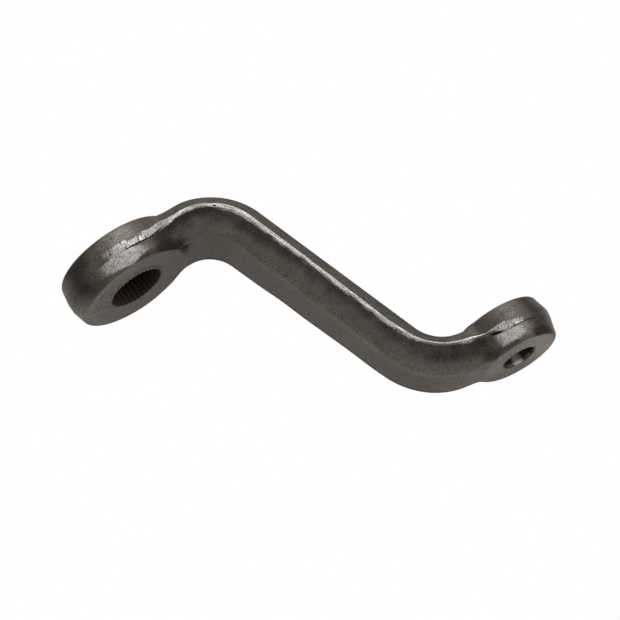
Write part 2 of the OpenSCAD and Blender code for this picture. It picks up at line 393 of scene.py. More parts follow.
sway = runningMean(np.interp(sideS, trimming["swayAt"], trimming["swayLift"]), trimming["swayMean"])
swayLevel = np.interp(level, [division["arcLevels"] - 1, crestTop - 1, ledgeLevel, footLevel], [0, 1, 1, 0])
ledgeDepth = onWall(trimming["ledges"])
underLedge = (level >= ledgeLevel) & (level < footLevel)
ledgeShare = np.where(underLedge, np.exp((ledgeLevel - level) / trimming["ledgeFade"]), 0)
curl = wallSpot(trimming["curlAlong"], trimming["curlLevel"]) * (level < levelCount - 1)
notch = trimming["studNotch"] * bell(*trimming["studNotchAt"], wallAt["end"])
notch = trimming["topNotch"] * column(sideFill) + notch
carved = ledgeDepth * ledgeShare + notch * upward + trimming["curlDepth"] * curl
carved = carved - onWall(trimming["bulge"])


def wallSide(sign):
    # the arm's section becomes the shaft eye's by its share, and the placed point the stud eye's by its own
    def place(inset):
        return column(sideS) - inset * column(sideN), sign * (column(sideY) - inset * column(sideM))

    inset = armIn + (shaftIn - armIn) * shaftShare + carved
    n = armN + column(sway) * swayLevel + onWall(trimming["shoulder"]) * upward
    n = n - belly(column(sideS)) * downward
    n = n + (shaftN - n) * shaftShare
    n = n + dimple(*place(inset)) * downward
    arm = onPath(*place(inset), n)
    eye = onStudEye(*place(studIn + carved), studN)
    whole = inset + (studIn + carved - inset) * studShare
    return (arm + (eye - arm) * studShare[..., None], *place(whole))


nearWall, nearS, nearY = wallSide(-1.0)
farWall, farS, farY = wallSide(1.0)
wall = np.concatenate([nearWall, farWall[-2:0:-1]])


def armSheet(edge, sheet):
    # rows across the arm between the edges of its two walls
    rows = slice(joinA, joinB + 1)
    t = np.linspace(-1, 1, division["across"] + 1)
    s = np.repeat(column(nearS[rows, edge]), len(t), 1)
    y = t * column(farY[rows, edge])
    grid = sheet(s, y)
    grid[:, 0], grid[:, -1] = nearWall[rows, edge], farWall[rows, edge]
    return grid, s, y


def serrationRadius(turn, z):
    # floor, flank and tip of a serration by its share of the pitch; all narrow with depth
    p = np.abs((turn + 0.5) % 1.0 - 0.5)
    root = (f["serrationD"] - f["serrationTaper"] * (shaftHalfH - z)) / 2
    tip = root * (1 - 2 * f["serrationDepth"] / f["serrationD"])
    return root + (tip - root) * np.clip((p - f["floorShare"]) / (f["tipShare"] - f["floorShare"]), 0, 1)


# columns round the serrated bore, eight to a serration, from the middle of the side that faces the arm
shaftCount = division["across"] + 2 * division["shaftSide"]
halfTooth = np.array([f["floorShare"], (f["floorShare"] + f["tipShare"]) / 2, f["tipShare"]])
eighths = np.concatenate([[0], halfTooth, [0.5], 1 - halfTooth[::-1]])
toothTurn = (np.arange(shaftCount) // 8) + eighths[np.arange(shaftCount) % 8]
shaftAngle = 2 * math.pi * toothTurn / f["serrations"]

boreZ = np.linspace(-shaftHalfH + f["edgeBreak"], shaftHalfH - f["shaftChamfer"], division["boreSteps"])
mouthZ = np.linspace(boreZ[-1], shaftHalfH, division["chamferSteps"] + 1)[1:]
boreZ = np.concatenate([[-shaftHalfH], boreZ, mouthZ])
mouthR = f["serrationD"] / 2 - f["serrationDepth"] + boreZ - (shaftHalfH - f["shaftChamfer"])
boreR = np.maximum(serrationRadius(column(toothTurn), boreZ), mouthR)
boreR[:, 0] += f["edgeBreak"]
boreS, boreY = boreR * column(np.cos(shaftAngle)), boreR * column(np.sin(shaftAngle))
boreWall = onPath(boreS, boreY, np.broadcast_to(boreZ - f["shaftRise"], boreR.shape))

# columns round the stud hole, closer together on the side that faces the arm
halfSector = deg(division["studSector"])
sectorTurn = np.linspace(0, halfSector, division["across"] // 2 + 1)
backTurn = np.linspace(halfSector, 2 * math.pi - halfSector, 2 * division["studSide"] + 1)
studAngle = math.pi - np.concatenate([sectorTurn[:-1], backTurn[:-1], -sectorTurn[:0:-1]])

holeZ = np.linspace(-studHalfH + f["studChamfer"], studHalfH - f["edgeBreak"], division["boreSteps"])
holeZ = np.concatenate([[-studHalfH, -studHalfH + f["studChamfer"] / 2], holeZ, [studHalfH]])
holeR = (f["studD"] - f["studTaper"] * (holeZ + studHalfH)) / 2
holeR = holeR + np.maximum(f["studChamfer"] - (holeZ + studHalfH), 0)
holeR[-1] += f["edgeBreak"]
holeS, holeY = pathLength + holeR * column(np.cos(studAngle)), holeR * column(np.sin(studAngle))
holeWall = onStudEye(holeS, holeY, np.broadcast_to(holeZ - f["studRise"], holeS.shape))


def polarSheet(inS, inY, inRim, outS, outY, outRim, sheet, steps):
    # straight columns from the rim of a hole to the outer edge, laid on the sheet
    t = np.linspace(0, 1, steps + 1)
    s = column(inS) + column(outS - inS) * t
    y = column(inY) + column(outY - inY) * t
    grid = sheet(s, y)
    grid[:, 0], grid[:, -1] = inRim, outRim
    return grid, s, y


def aroundEye(edge, armPatch, far):
    # outer ends of the columns round an eye, in step with its angles: half the arm's row, wall, half the row
    half = division["across"] // 2
    row = -1 if far else 0
    cols = slice(joinB, None) if far else slice(joinA, None, -1)
    backCols = slice(sideCount - 2, joinB, -1) if far else slice(1, joinA)

    def ring(armRow, near, other):
        return np.concatenate([armRow[half:-1], other[cols, edge], near[backCols, edge], armRow[:half]])

    grid, s, y = (values[row] for values in armPatch)
    return ring(s, nearS, farS), ring(y, nearY, farY), ring(grid, nearWall, farWall)


def eyeSheet(holeParts, holeEnd, edge, armPatch, far, sheet, steps):
    rim = (part[:, holeEnd] for part in holeParts)
    return polarSheet(*rim, *aroundEye(edge, armPatch, far), sheet, steps)


armTop, armLow = armSheet(0, topSheet), armSheet(-1, lowSheet)
bore, hole = (boreS, boreY, boreWall), (holeS, holeY, holeWall)
shaftTop = eyeSheet(bore, -1, 0, armTop, False, topSheet, division["topSteps"])
shaftLow = eyeSheet(bore, 0, -1, armLow, False, lowSheet, division["lowSteps"])
studTop = eyeSheet(hole, -1, 0, armTop, True, topSheet, division["topSteps"])
studLow = eyeSheet(hole, 0, -1, armLow, True, lowSheet, division["lowSteps"])


def quads(rows, cols, closed, offset):
    # faces of a grid of rows by cols, with the last row joined to the first where it is closed
    i, j = np.meshgrid(np.arange(rows if closed else rows - 1), np.arange(cols - 1), indexing="ij")
    here, onward = i * cols + j, (i + 1) % rows * cols + j
    return offset + np.stack([here, onward, onward + 1, here + 1], -1).reshape(-1, 4)


def weld(points, faces):
    # points that lie on each other become one
    key = np.round(points * division["weldPerMm"]).astype(np.int64)
    _, first, index = np.unique(key, axis=0, return_index=True, return_inverse=True)
    return first, index.reshape(-1)[faces]


def byShare(arm, shaft, stud):
    # a height past the flash's edge, the arm's changed into each eye's by its share
    arm, shaft, stud = (np.maximum(n, 0) for n in (arm, shaft, stud))
    return np.maximum(arm + (shaft - arm) * shaftShare + (stud - arm) * studShare, 0)


# more places on the wall: distance over and under the flash, and height in each eye
over = byShare(armN - halfFlash, shaftN - shaftBand[0], studN - studBand[0])
under = byShare(-halfFlash - armN, shaftBand[1] - shaftN, studBand[1] - studN)
shaftZ, studZ = shaftN + f["shaftRise"], studN + f["studRise"]
wallAt.update(under=under, shaftZ=shaftZ, studZ=studZ)
upperWall, lowerWall = ("level", crestTop, crestTop - 1), ("level", crestLow, crestLow + 1)
shaftEyeStep, studEyeStep = ("s", 34, 14), ("end", -28, -10)
offShaft, offStud = ("s", 14, 34), ("end", -10, -28)
lowHalf, topHalf = ("flash", 0.3, 0.75), ("flash", 0.55, 0.1)

# bright trimmed flash and ground places, in rows of shades;
# the ground place on the shaft eye has a floor and a roof
bareMarks = {
    "shaftBand": (104, 136), "studBand": (66, 92), "fadeOver": 0.3,
    "fadeUnder": [(1.6,), (1.4, ("s", 44, 60), offStud), (0.5, ("s", 165, 175, 5))],
    "dull": [
        (0.44, shaftEyeStep), (0.34, studEyeStep), (0.3, ("s", 60, 88, 8)), (0.1, ("s", 38, 60, 6)),
        (-0.22, ("s", -9, -2, 4)), (-0.3, ("s", 15, 26, 6)), (0.06, ("s", 165, 175, 5), lowHalf),
        (0.4, ("s", 76, 100), offStud, lowHalf), (0.4, ("s", 28, 54, 8), ("flash", 0.1, 0.5)),
        (0.6, ("stud", 118, 140, 7), ("flash", 0.1, 0.55)), (0.42, ("s", 180, 200, 6), ("flash", 0.0, 0.4)),
        (0.22, ("s", -3, 8, 6), topHalf), (0.43, ("s", 42, 58, 7), topHalf),
        (0.3, ("stud", 80, 102, 6), topHalf),
    ],
    "floorTurn": [70, 85, 95, 105, 115, 130], "floor": [-8.2, -9.3, -10.6, -10.1, -9.3, -8.2],
    "roofTurn": [70, 80, 90, 100], "roof": [-4.8, -4.2, -3.0, -2.2],
    "groundAndGleam": [
        (1.0, ("shaft", 80, 122, 18), ("overFloor", -1.2, 1.2), ("overRoof", 0.8, -0.8), lowerWall),
        (1.0, ("stud", 87, 121, 12), ("studZ", -10.5, -8.0), ("studZ", -2.7, -3.6)),
    ],
}
m = bareMarks
bandShare = np.where(shaftHalf, 1 - smooth(*m["shaftBand"], shaftTurn), smooth(*m["studBand"], studTurn))
dull = onWall(m["dull"])
trimmedSide = column(bandShare) * np.clip(1 - dull, 0, 1) * np.clip(1 - over / m["fadeOver"], 0, 1)
trimmedSide = trimmedSide * np.clip(1 - under / onWall(m["fadeUnder"]), 0, 1)
wallAt["overFloor"] = shaftZ - column(np.interp(shaftTurn, m["floorTurn"], m["floor"]))
wallAt["overRoof"] = shaftZ - column(np.interp(shaftTurn, m["roofTurn"], m["roof"]))
groundSide = onWall(m["groundAndGleam"])

# painted light and shade with the wear of the scale, where a half is plain, less is darker as painted shade
# and more is lighter as painted light; its warmth; and the cracks, whose colour also paints deep shade in the
# curl
scaleMarks = {
    # painted light and shade on the flank: darker just under and above the flash as painted shade, lighter
    # towards its lower edge as painted light, with patches of painted shade along the run
    "flankUnder": [0, 3.6, 5.1, 6.6, 8.1, 9.6, 11.1, 12.3],
    "flankPaintedLightAndShade": [0.17, 0.23, 0.27, 0.32, 0.40, 0.49, 0.59, 0.66], "abovePaintedShade": 0.29, "flashWear": 0.5,
    "flank": [
        (-0.10, ("s", 60, 82, 10), ("under", 4, 9, 3)), (-0.12, ("s", 184, 202, 8), ("under", 4, 9, 3)),
        (-0.16, ("s", 80, 50), ("under", 9, 12)),
    ],
    # painted light and shade on the eyes' walls, by angle round each eye and by level, with painted
    # highlights on the upper walls that face the front
    "shaftEye": [
        (0.5,), (-0.34, ("shaft", 114, 148)), (0.28, ("shaft", 148, 178)),
        (0.34, ("shaft", 128, 172), ("shaftZ", -4, -10)), (-0.09, ("shaft", 120, 140, 9), upperWall),
        (0.38, ("shaft", 84, 113, 12), upperWall, ("level", 1, 8)),
        (-0.14, ("shaft", 48, 74, 10), upperWall, ("level", 1, 8)),
    ],
    "studEye": [
        (0.5,), (-0.32, ("stud", 40, 72, 12)), (0.34, ("stud", 78, 96, 7), lowerWall),
        (0.13, ("stud", 80, 108, 14), upperWall), (-0.12, ("stud", 112, 134, 8), upperWall),
    ],
    # painted shade along the lower rounded edges of the eye walls, over the faces' rims
    "rims": [
        (-0.13,), (0.13, ("shaft", 118, 140)), (-0.117, ("shaft", 76, 112, 10)),
        (-0.156, ("stud", 50, 108, 12)), (0.13, ("stud", 42, 24)),
    ],
    "rimLevels": (levelCount - 10, levelCount - 3, 2),
    # painted shade: the flank darkens as it curls into each eye and under the flash, and at the larger eye
    # the curl's foot is painted nearly black as deep shade
    "shaftPocket": 0.36, "shaftPocketAt": (17, 7), "studPocket": 0.22, "studPocketAt": (-19, 6),
    "pocketLevels": (crestLow - 2, crestLow + 3), "underFlash": 0.15, "underFlashAt": (27, 7),
    "underBend": [(0.12, ("s", 37, 50, 5))], "underLevels": (crestLow + 1, crestLow + 6, 2),
    "curlFoot": ((24.5, 5.0), (35, 4.0)), "nick": ((53.2, 1.3), (17.5, 1.4)),
    "curlPaintedShade": 0.3, "footPaintedShade": 0.5, "curlPaintedDeepShade": 0.25, "footPaintedDeepShade": 0.3,
    "crackDepth": 0.4, "deepest": 1.4, "slot": [(1.0, ("stud", 110, 126, 5))], "slotFade": [0, 0.75, 0.3, 0],
    # painted shade along the far wall's lower rounded edge
    "farEdge": [(0.45, ("s", 44, pathLength - 26, 8), ("level", levelCount - 9, levelCount - 4))],
    "warm": [
        (0.12,), (0.45, shaftEyeStep), (0.45, studEyeStep), (0.32, ("under", 7, 12)),
        (-0.15, ("s", 34, 66, 9), ("under", 7, 12)), (0.2, upperWall, offShaft, offStud),
    ],
}
m = scaleMarks
flank = np.interp(under, m["flankUnder"], m["flankPaintedLightAndShade"]) + onWall(m["flank"])
flank = np.where(level > crestLow, flank, np.where(level < crestTop, m["abovePaintedShade"], m["flashWear"]))
rims = onWall(m["rims"]) * window(*m["rimLevels"], level)
shaftEye, studEye = (smooth(low, high, wallAt[name]) for name, low, high in (shaftEyeStep, studEyeStep))
paintedLightAndWearSide = flank + (onWall(m["shaftEye"]) + rims - flank) * shaftEye
paintedLightAndWearSide = paintedLightAndWearSide + (onWall(m["studEye"]) + rims - flank) * studEye
# painted shade in the hollows where the flank curls into each eye, under the flash, in the curl and at its
# foot
paintedPocketShade = m["shaftPocket"] * bell(*m["shaftPocketAt"], wallAt["s"])
paintedPocketShade = paintedPocketShade + m["studPocket"] * bell(*m["studPocketAt"], wallAt["end"])
underFlash = m["underFlash"] * bell(*m["underFlashAt"], wallAt["s"]) + onWall(m["underBend"])
paintedPocketShade = paintedPocketShade * smooth(*m["pocketLevels"], level) + underFlash * window(*m["underLevels"], level)
curlFoot = wallSpot(*m["curlFoot"])
paintedLightAndWearSide = np.clip(paintedLightAndWearSide - paintedPocketShade - m["curlPaintedShade"] * curl - m["footPaintedShade"] * curlFoot, 0, 1)
crackAndShadeSide = np.clip(ledgeDepth / m["crackDepth"], 0, m["deepest"]) * (level == ledgeLevel)
crackAndShadeSide = crackAndShadeSide + onWall(m["slot"]) * np.interp(level, ledgeLevel + np.arange(4), m["slotFade"])
# the curl and its foot take the crack colour too, as painted deep shade
crackAndShadeSide = crackAndShadeSide + m["curlPaintedDeepShade"] * curl + m["footPaintedDeepShade"] * curlFoot + wallSpot(*m["nick"])
warmSide = onWall(m["warm"])
farEdge = onWall(m["farEdge"])
sideLength = np.concatenate([[0], np.cumsum(np.hypot(np.diff(sideS), np.diff(sideY)))])
placeSide = np.stack(np.broadcast_arrays(column(sideLength), shaftN, 0.0), -1)


def bothSides(side, farLess=0.0):
    return np.concatenate([side, (side - farLess)[-2:0:-1]]).reshape(-1, *side.shape[2:])


# painted light and shade on the underside: painted shade beside the bosses, in their hollows and along the
# far edge, and painted light at the arm's near edge, towards the lower bend and on the eyes' faces, with
# painted shade on parts of the faces
underMarks = {
    "arm": [
        (0.50,), (0.04, ("s", 110, 130)), (0.09, ("s", 175, 195)),
        (-0.35, ("share", 0.0, 0.2), ("share", 0.95, 0.45), ("along", 0.95, 0.8)),
    ],
    "besideShaft": [(0.16, ("s", 46, 33)), (0.05, ("s", 60, 46))],
    "nearEdge": [(0.14, ("inward", 8, -1), ("s", 75, pathLength - 34, 12))],
    "farEdge": [(-0.28, ("inward", 1.5, -0.5), ("s", 75, pathLength - 34, 12))],
    "shaftFace": [
        (0.13, ("s", 6, -30)), (-0.17, ("s", 6, 32)), (0.07, ("d", 21, 29), ("s", 22, 6)),
        (0.08, ("y", -14, -22), ("s", -16, 2, 6)), (-0.1, ("y", 14, 26), ("s", -16, 8, 6)),
    ],
    "studFace": [
        (0.13,), (0.24, ("end", -10, 18)), (-0.16, ("y", 4, 14), ("end", 24, 6)),
        (-0.14, ("y", 5, 11), ("end", -1, 12, 4)),
    ],
    # the nose: painted shade along the larger boss's rim, as darker scale and in the crack colour
    "nose": 0.42, "nosePaintedDeepShade": 0.35, "noseOut": 0.1, "noseWidths": (1.5, 2.0), "noseTurn": (-6, 30),
    # pits crowd the rim of the serrated bore, and a few lie towards its face's far end
    "scars": [
        (0.45,), (0.43, ("d", 22, 17)), (0.2, ("d", 22, 17), ("y", 6, -6)),
        (0.56, ("d", 21, 26, 3), ("s", -8, -20), ("y", 12, 0)),
    ],
    "studScars": 0.6, "plainPaintedLightAndWear": 0.5, "plainWarm": 0.55, "faceWarm": 0.5,
}


def underAt(s, y):
    return {"s": s, "end": s - pathLength, "y": y, "d": np.hypot(s, y)}


def nose(s, y):
    # shade along the rim of the larger boss where it runs into the arm
    turn = np.degrees(np.arctan2(np.abs(y), s))
    out = np.hypot(s, y) - shaftFaceR - underMarks["noseOut"]
    inner, outer = underMarks["noseWidths"]
    return bell(0, np.where(out < 0, inner, outer), out) * smooth(*underMarks["noseTurn"], turn) * (s > 0)


# painted light and shade on the underside, with a half as the plain level
def paintedLightAndWearUnder(s, y):
    v = underMarks
    at = underAt(s, y)
    shaft, stud = lowShare(s, y)
    at["share"] = np.maximum(shaft, stud)
    at["along"] = np.maximum(s / np.hypot(s, y), (pathLength - s) / np.hypot(pathLength - s, y))
    at["inward"] = halfWidth(s) - armIn[-1] - np.abs(y)
    edge = np.where(y < 0, shades(v["nearEdge"], at), shades(v["farEdge"], at)) * (1 - at["share"])
    arm = shades(v["arm"], at) + edge - shades(v["besideShaft"], at) * (1 - shaft) - v["nose"] * nose(s, y)
    return np.clip(arm + shaft * shades(v["shaftFace"], at) + stud * shades(v["studFace"], at), 0, 1)


# the skin's patches, whether they close on themselves, and the number of their finish
patches = {
    "wall": (wall, True, 0), "armTop": (armTop[0], False, 0), "armLow": (armLow[0], False, 0),
    "shaftTop": (shaftTop[0], True, 0), "shaftLow": (shaftLow[0], True, 0),
    "studTop": (studTop[0], True, 0), "studLow": (studLow[0], True, 0),
    "bore": (boreWall, True, 1), "hole": (holeWall, True, 2),
}
points, faces, finishes, spans, offset = [], [], [], {}, 0
for name, (grid, closed, finish) in patches.items():
    rows, cols = grid.shape[:2]
    points.append(grid.reshape(-1, 3))
    faces.append(quads(rows, cols, closed, offset))
    finishes.append(np.full(len(faces[-1]), finish))
    spans[name] = slice(offset, offset + rows * cols)
    offset += rows * cols
points = np.concatenate(points)
first, welded = weld(points, np.concatenate(faces))

# marks carried by the points, and each wall point's place along and up the wall in mm
marks = {name: np.zeros(len(points)) for name in ("trimmed", "groundAndGleam", "crackAndShade", "scars")}
# the wear mark carries painted light and shade along with the wear of the scale; a half is plain
marks["paintedLightAndWear"] = np.full(len(points), underMarks["plainPaintedLightAndWear"])
marks["warm"] = np.full(len(points), underMarks["plainWarm"])
wallMarks = {"trimmed": trimmedSide, "groundAndGleam": groundSide, "crackAndShade": crackAndShadeSide, "warm": warmSide}
for name, side in wallMarks.items():
    marks[name][spans["wall"]] = bothSides(side)
# the far side is darker along its lower edge, as painted shade
marks["paintedLightAndWear"][spans["wall"]] = bothSides(paintedLightAndWearSide, farEdge)
wallPlace = np.zeros((len(points), 3))
wallPlace[spans["wall"]] = bothSides(placeSide)
for name, (_, s, y) in (("armLow", armLow), ("shaftLow", shaftLow), ("studLow", studLow)):
    marks["paintedLightAndWear"][spans[name]] = paintedLightAndWearUnder(s, y).reshape(-1)
    # the nose's painted shade also takes the crack colour
    marks["crackAndShade"][spans[name]] = underMarks["nosePaintedDeepShade"] * nose(s, y).reshape(-1)
for name in ("shaftLow", "studLow"):
    marks["warm"][spans[name]] = underMarks["faceWarm"]
marks["scars"][spans["shaftLow"]] = shades(underMarks["scars"], underAt(*shaftLow[1:])).reshape(-1)
marks["scars"][spans["studLow"]] = underMarks["studScars"] * lowShare(*studLow[1:])[1].reshape(-1)

# painted light in the lower half of the bore, and a painted highlight down one side of the stud hole, by its
# angle, carried with the ground places' mark
paintedGleamBelow, paintedGleamTurn = (-1, -12), (66, 92, 10)
marks["groundAndGleam"][spans["bore"]] = np.tile(smooth(*paintedGleamBelow, boreZ), len(boreWall))
gleam = window(*paintedGleamTurn, np.degrees(studAngle) % 360)
marks["groundAndGleam"][spans["hole"]] = np.repeat(gleam, len(holeZ))
print("skin:", len(first), "points,", len(welded), "quads")

sharpAngle = 50
armMesh = bpy.data.meshes.new("forgedArm")
armMesh.from_pydata((points[first] * mm).tolist(), [], welded.tolist())
armMesh.polygons.foreach_set("material_index", np.concatenate(finishes).astype(np.int32))
armMesh.polygons.foreach_set("use_smooth", np.ones(len(welded), bool))
for name, values in marks.items():
    armMesh.attributes.new(name, "FLOAT", "POINT").data.foreach_set("value", values[first].astype(np.float32))
armMesh.attributes.new("wallPlace", "FLOAT_VECTOR", "POINT").data.foreach_set(
    "vector", wallPlace[first].astype(np.float32).reshape(-1))
skin = bmesh.new()
skin.from_mesh(armMesh)
bmesh.ops.recalc_face_normals(skin, faces=skin.faces)
openEdges = sum(1 for e in skin.edges if len(e.link_faces) != 2)
print("open edges:", openEdges, "volume mm3:", round(skin.calc_volume() / mm ** 3))
skin.to_mesh(armMesh)
skin.free()
armMesh.set_sharp_from_angle(angle=deg(sharpAngle))
forgedArm = bpy.data.objects.new("forgedArm", armMesh)
scene.collection.objects.link(forgedArm)
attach(forgedArm, "root")
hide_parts("pitman_arm")
print("forged arm made")


def feed(tree, inputs, sockets):
    # each socket is given a value or the output that feeds it
    for name, value in sockets.items():
        if isinstance(value, bpy.types.NodeSocket):
            tree.links.new(value, inputs[name])
        else:
            inputs[name].default_value = value


def add(tree, kind, sockets=None, **settings):
    # a node with its settings and what feeds it
    made = tree.nodes.new("ShaderNode" + kind)
    for name, value in settings.items():
        setattr(made, name, value)
    feed(tree, made.inputs, sockets or {})
    return made


def calc(tree, operation, a, b=0.0, clamp=False):
    return add(tree, "Math", {0: a, 1: b}, operation=operation, use_clamp=clamp).outputs[0]


def times(tree, a, b):
    return calc(tree, "MULTIPLY", a, b)


def plus(tree, a, b, clamp=False):
    return calc(tree, "ADD", a, b, clamp)


def centred(tree, value, depth):
    # how far a noise lies from its middle, times a depth
    return times(tree, calc(tree, "SUBTRACT", value, 0.5), depth)


def remap(tree, value, low, high, toLow=0.0, toHigh=1.0):
    sockets = {"Value": value, "From Min": low, "From Max": high, "To Min": toLow, "To Max": toHigh}
    return add(tree, "MapRange", sockets, interpolation_type="SMOOTHSTEP").outputs["Result"]


def mixValue(tree, share, a, b):
    return add(tree, "Mix", {0: share, 2: a, 3: b}).outputs[0]


def mixColour(tree, share, a, b, blend="MIX"):
    return add(tree, "Mix", {0: share, 6: a, 7: b}, data_type="RGBA", blend_type=blend).outputs[2]


def noise(tree, vector, scale, detail=3.0, roughness=0.55, distortion=0.0):
    sockets = {"Vector": vector, "Scale": scale, "Detail": detail,
               "Roughness": roughness, "Distortion": distortion}
    return add(tree, "TexNoise", sockets).outputs["Fac"]


def startGroup(name, inputs, outputs):
    # an empty node group whose first input is a place, with its input and output nodes
    tree = bpy.data.node_groups.new(name, "ShaderNodeTree")
    tree.interface.new_socket("Place", in_out="INPUT", socket_type="NodeSocketVector")
    for socket in inputs:
        tree.interface.new_socket(socket, in_out="INPUT", socket_type="NodeSocketFloat")
    for socket in outputs:
        tree.interface.new_socket(socket, in_out="OUTPUT", socket_type="NodeSocketFloat")
    return tree, tree.nodes.new("NodeGroupInput").outputs, tree.nodes.new("NodeGroupOutput").inputs


# noises by scale, detail, roughness and distortion, and the ranges that are cut from them
grainForm = {
    "mottle": (120, 6, 0.62), "mottleRange": (0.34, 0.66),
    "warmth": (80, 5, 0.6, 0.5), "warmthRange": (0.32, 0.68),
    "speckle": (4, 0.65), "scars": (520, 2, 0.5), "dents": (170, 3, 0.5),
    "pitScale": 210.0, "pitRange": (0.20, 0.08), "rare": (130, 1), "rareRange": (0.60, 0.66),
    "speckleHeight": 0.45, "pitDepth": 0.6,
}
strokeForm = {"streak": (1.0, 3, 0.65), "ragged": (0.7, 5, 0.7)}


def makeForgeGrain(v):
    # skin left by the die and the scale: broad mottling, fine speckle, sparse pits, and their height
    names = ("Mottle", "Warmth", "Speckle", "Scars", "Pits", "Height")
    tree, given, out = startGroup("forgeGrain", ("Speckle Scale",), names)
    place = given["Place"]
    mottle = remap(tree, noise(tree, place, *v["mottle"]), *v["mottleRange"])
    warmth = remap(tree, noise(tree, place, *v["warmth"]), *v["warmthRange"])
    speckle = noise(tree, place, given["Speckle Scale"], *v["speckle"])
    scars = noise(tree, place, *v["scars"])
    cells = add(tree, "TexVoronoi", {"Vector": place, "Scale": v["pitScale"]}, feature="F1")
    rare = remap(tree, noise(tree, place, *v["rare"]), *v["rareRange"])
    pits = times(tree, remap(tree, cells.outputs["Distance"], *v["pitRange"]), rare)
    height = plus(tree, times(tree, speckle, v["speckleHeight"]), noise(tree, place, *v["dents"]))
    height = calc(tree, "SUBTRACT", height, times(tree, pits, v["pitDepth"]))
    feed(tree, out, dict(zip(names, (mottle, warmth, speckle, scars, pits, height))))
    return tree


def makeGrinderMarks(v):
    # short strokes: noise drawn out along one direction of the wall's own place, and a ragged noise beside it
    tree, given, out = startGroup("grinderMarks", ("Turn", "Fineness", "Stretch"), ("Streak", "Ragged"))
    turned = add(tree, "VectorRotate", {"Vector": given["Place"], "Angle": given["Turn"]},
                 rotation_type="Z_AXIS").outputs["Vector"]
    scale = add(tree, "CombineXYZ", {"X": given["Fineness"], "Y": given["Stretch"]}).outputs[0]
    drawn = add(tree, "VectorMath", {0: turned, 1: scale}, operation="MULTIPLY").outputs[0]
    ragged = noise(tree, given["Place"], *v["ragged"])
    feed(tree, out, {"Streak": noise(tree, drawn, *v["streak"]), "Ragged": ragged})
    return tree


forgeGrain = makeForgeGrain(grainForm)
grinderMarks = makeGrinderMarks(strokeForm)


def placeGroup(tree, group, sockets):
    return add(tree, "Group", sockets, node_tree=group).outputs


def startMaterial(name):
    material = bpy.data.materials.new(name)
    material.use_nodes = True
    tree = material.node_tree
    return material, tree, tree.nodes["Principled BSDF"].inputs


def placeGrain(tree, speckleScale):
    here = add(tree, "TexCoord").outputs["Object"]
    return placeGroup(tree, forgeGrain, {"Place": here, "Speckle Scale": speckleScale})


def finishMaterial(tree, shader, v, colour, metal, rough, height):
    bump = add(tree, "Bump", {"Strength": v["bumpStrength"], "Distance": v["bumpDepth"], "Height": height})
    feed(tree, shader, {"Base Color": colour, "Metallic": metal, "Roughness": rough,
                        "Specular IOR Level": v["specular"], "Normal": bump.outputs["Normal"]})


# colours are linear; the scale is a dark oxide, the trimmed flash and ground places are bare steel;
# a range is from low to high and, where it has four numbers, what they become
skinFinish = {
    "scaleWarm": (0.092, 0.067, 0.053, 1), "scaleCool": (0.072, 0.0695, 0.061, 1),
    # the dark scale colour serves painted shade, and the worn colour is worn scale with painted light
    "darkScaleAndPaintedShade": (0.014, 0.0105, 0.008, 1), "wornAndPaintedLight": (0.190, 0.167, 0.142, 1),
    # the crack colour also paints deep shade in the curl and at the larger boss's nose
    "bare": (0.415, 0.406, 0.388, 1), "bareDull": (0.12, 0.115, 0.105, 1), "crackAndShade": (0.005, 0.004, 0.003, 1),
    "specular": 0.1, "metallic": 0.3, "scaleRough": 0.50, "bareRough": 0.42, "mottledRough": 0.7,
    "bumpStrength": 0.2, "bumpDepth": 0.0005, "scratchHeight": 0.35,
    "speckleScale": 1100.0, "speckledDark": 2.6, "speckledWornAndLit": 6.5, "speckledRange": (0.3, 0.7),
    "calmedRange": (0.2, 0.55, 0.28, 0.4), "mottle": 0.08, "mottled": 1.5, "warmth": 0.45,
    "darkAndPaintedShadeRange": (0.05, 0.5), "wornAndPaintedLightRange": (0.5, 1.05), "scars": 0.3, "scarRange": (0.85, 0.90), "pits": 0.7,
    "strokesAcross": {"Turn": 0.3, "Fineness": 1.35, "Stretch": 0.3},
    "strokesAlong": {"Turn": 1.5708, "Fineness": 0.9, "Stretch": 0.1},
    "ragged": 1.3, "trimStreaks": 2.2, "trimRange": (0.32, 0.66),
    "groundAndGleamStreaks": 0.9, "groundAndGleamRange": (0.12, 1.0),
    "eyeRange": (0.2, 0.4), "crackAndShadeRange": (0.35, 0.75), "acrossRange": (0.30, 0.62, 0.45, 1.15),
    "alongRange": (0.34, 0.60), "bareSpeckle": (0.40, 0.57, 0.38, 1.05), "groundBright": 1.8,
    "dulledRange": (0.2, 0.9, 0.3, 1.0),
}


